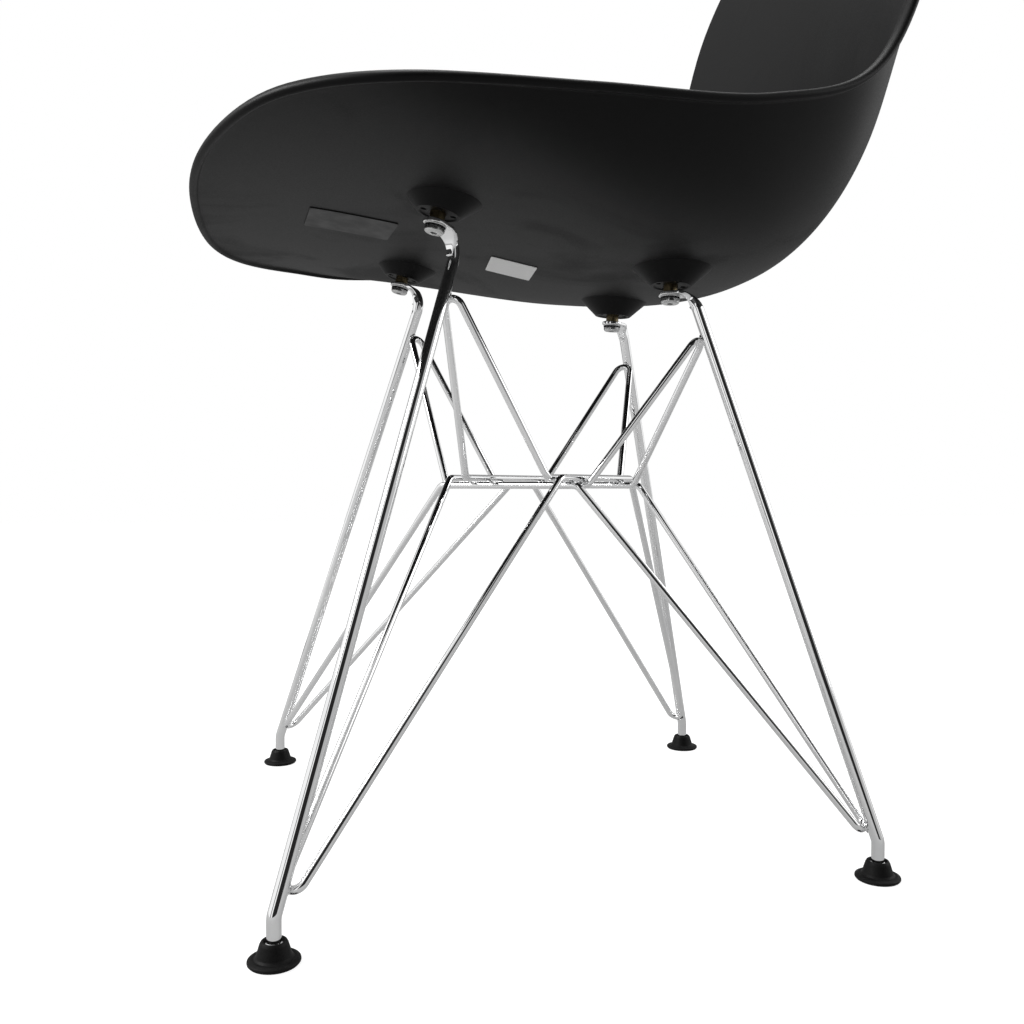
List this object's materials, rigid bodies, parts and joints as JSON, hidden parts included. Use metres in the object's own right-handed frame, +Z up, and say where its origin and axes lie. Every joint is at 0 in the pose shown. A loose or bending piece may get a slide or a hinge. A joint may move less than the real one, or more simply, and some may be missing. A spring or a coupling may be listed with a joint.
{
  "type": "side chair",
  "caption": "Side chair with a moulded bucket shell bolted to a chromed base of rod legs and criss-crossing wire braces, standing on push-on glides.",
  "frame": {"origin": "on the floor under the middle of the whole chair", "axes": "+Z up, +X to the sitter's left, -Y the way the sitter faces"},
  "size_m": [0.4842, 0.5334, 0.8214],
  "materials": {
    "shell_plastic": "satin moulded plastic with a fine grain",
    "chrome": "polished chrome plating",
    "zinc_fastener": "bright zinc plate",
    "lock_washer_steel": "dark spring steel",
    "insert_brass": "plain turned brass",
    "glide_plastic": "satin black plastic",
    "pale_label": "blank pale sticker",
    "dark_label": "blank dark grey sticker"
  },
  "bodies": {
    "root": {"seat_shell": "shell_plastic", "pale_label": "pale_label", "dark_label": "dark_label", "threaded_insert_front_left": "insert_brass", "bolt_front_left": "zinc_fastener", "lock_washer_front_left": "lock_washer_steel", "flat_washer_front_left": "zinc_fastener", "leg_front_left": "chrome", "glide_front_left": "glide_plastic", "threaded_insert_front_right": "insert_brass", "bolt_front_right": "zinc_fastener", "lock_washer_front_right": "lock_washer_steel", "flat_washer_front_right": "zinc_fastener", "leg_front_right": "chrome", "glide_front_right": "glide_plastic", "threaded_insert_rear_left": "insert_brass", "bolt_rear_left": "zinc_fastener", "lock_washer_rear_left": "lock_washer_steel", "flat_washer_rear_left": "zinc_fastener", "leg_rear_left": "chrome", "glide_rear_left": "glide_plastic", "threaded_insert_rear_right": "insert_brass", "bolt_rear_right": "zinc_fastener", "lock_washer_rear_right": "lock_washer_steel", "flat_washer_rear_right": "zinc_fastener", "leg_rear_right": "chrome", "glide_rear_right": "glide_plastic", "upper_brace_a": "chrome", "upper_brace_b": "chrome", "lower_brace_a": "chrome", "lower_brace_b": "chrome"}
  },
  "joints": []
}
